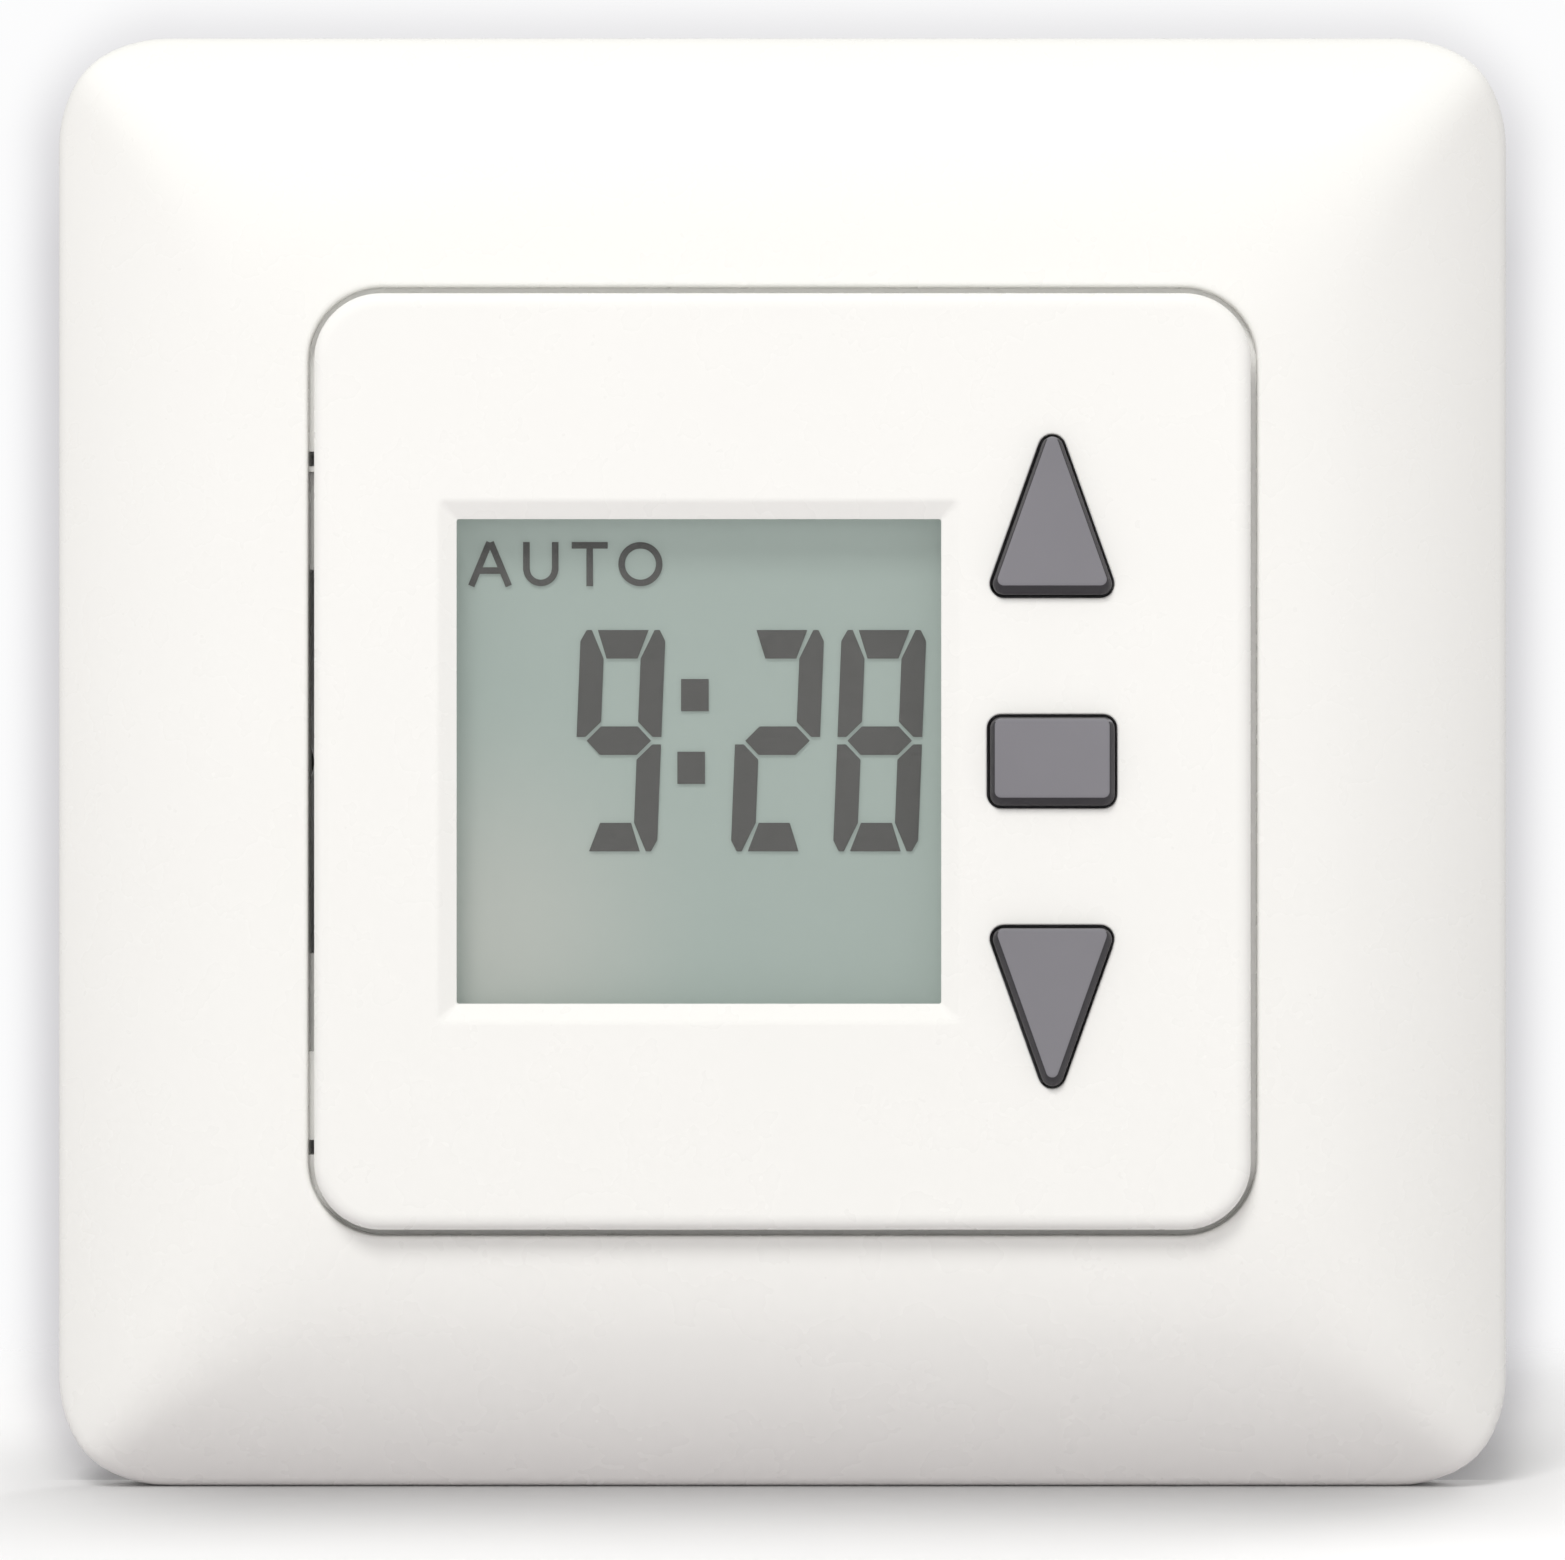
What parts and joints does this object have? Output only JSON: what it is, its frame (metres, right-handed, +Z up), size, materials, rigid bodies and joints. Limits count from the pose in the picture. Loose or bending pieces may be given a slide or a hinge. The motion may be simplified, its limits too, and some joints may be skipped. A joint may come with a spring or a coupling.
{
  "type": "wall thermostat",
  "caption": "Flush wall thermostat: square cover frame, plug-on display unit with a clock display and grey keys, steel mounting plate and a relay unit for the wall box.",
  "frame": {"origin": "centre of the box screw pattern, on the wall's surface", "axes": "+Z up, -Y out of the wall towards the room, +Y into the wall, +X to the right for a person facing the device"},
  "size_m": [0.08, 0.0371, 0.08],
  "materials": {
    "white_cover": "polished moulded white",
    "housing_plastic": "fine moulded texture, off-white",
    "holder_plastic": "moulded, white",
    "plate_steel": "zinc plated sheet",
    "screw_steel": "zinc plated",
    "board_laminate": "green solder mask",
    "chip_body": "moulded epoxy",
    "connector_plastic": "moulded black",
    "contact_metal": "gold plated",
    "relay_plastic": "moulded blue",
    "coil_winding": "enamelled copper wire",
    "relay_iron": "plated iron",
    "spring_bronze": "spring bronze",
    "capacitor_box": "moulded yellow",
    "capacitor_sleeve": "shrunk dark sleeve",
    "varistor_coat": "dipped blue",
    "resistor_coat": "flameproof coat",
    "terminal_plastic": "moulded dark grey",
    "clamp_brass": "stamped",
    "clear_window": "clear acrylic",
    "polariser_film": "film",
    "lcd_glass": "clear",
    "lcd_sealant": "cured seal",
    "lcd_dark": "dark segments",
    "lcd_reflector": "green-grey reflector",
    "zebra_rubber": "layered silicone",
    "can_metal": "bright",
    "sensor_bead": "epoxy bead",
    "switch_plastic": "moulded black",
    "key_plastic": "moulded mid grey",
    "plunger_plastic": "moulded ivory"
  },
  "bodies": {
    "root": {"cover_frame": "white_cover", "mounting_plate": "plate_steel", "base_cover": "housing_plastic", "base_screws": "screw_steel", "base_housing": "housing_plastic", "power_board": "board_laminate", "power_board_chips": "chip_body", "rectifier": "chip_body", "socket_strip": "connector_plastic", "socket_contacts": "contact_metal", "relay_case": "relay_plastic", "relay_base": "connector_plastic", "relay_coil": "coil_winding", "relay_yoke": "relay_iron", "relay_fixed_contact": "spring_bronze", "mains_capacitor": "capacitor_box", "smoothing_capacitor": "capacitor_sleeve", "surge_varistor": "varistor_coat", "fusible_resistor": "resistor_coat", "terminal_block": "terminal_plastic", "terminal_clamps": "clamp_brass", "terminal_screws": "screw_steel"},
    "display_unit": {"front_cover": "white_cover", "display_window": "clear_window", "lcd_front_polariser": "polariser_film", "lcd_front_glass": "lcd_glass", "lcd_seal": "lcd_sealant", "lcd_segments": "lcd_dark", "lcd_rear_glass": "lcd_glass", "lcd_reflector": "lcd_reflector", "lcd_holder": "holder_plastic", "contact_strips": "zebra_rubber", "display_board": "board_laminate", "controller_chip": "chip_body", "clock_crystal": "can_metal", "backup_cell": "can_metal", "display_board_chips": "chip_body", "temperature_sensor": "sensor_bead", "key_switches": "switch_plastic", "switch_domes": "can_metal", "switch_covers": "can_metal", "header_strip": "connector_plastic", "header_pins": "contact_metal", "unit_back": "housing_plastic", "unit_screws": "screw_steel"},
    "key_up": {"key_up": "key_plastic", "plunger_up": "plunger_plastic"},
    "key_set": {"key_set": "key_plastic", "plunger_set": "plunger_plastic"},
    "key_down": {"key_down": "key_plastic", "plunger_down": "plunger_plastic"},
    "relay_armature": {"relay_armature": "relay_iron", "relay_contact_arm": "spring_bronze"}
  },
  "joints": [
    {"name": "unit_pull", "type": "slide", "parent": "root", "child": "display_unit", "axis": [0, -1, 0], "range_m": [0, 0.014]},
    {"name": "up_press", "type": "slide", "parent": "display_unit", "child": "key_up", "axis": [0, 1, 0], "range_m": [0, 0.0005], "stiffness_N_per_m": 2000, "springref_m": -0.0005},
    {"name": "set_press", "type": "slide", "parent": "display_unit", "child": "key_set", "axis": [0, 1, 0], "range_m": [0, 0.0005], "stiffness_N_per_m": 2000, "springref_m": -0.0005},
    {"name": "down_press", "type": "slide", "parent": "display_unit", "child": "key_down", "axis": [0, 1, 0], "range_m": [0, 0.0005], "stiffness_N_per_m": 2000, "springref_m": -0.0005},
    {"name": "relay_pull_in", "type": "hinge", "parent": "root", "child": "relay_armature", "pos_m": [-0.0128, 0.0196, -0.00205], "axis": [0, 0, -1], "range_deg": [0, 2], "stiffness_Nm_per_rad": 0.02, "springref_deg": -2.86}
  ]
}
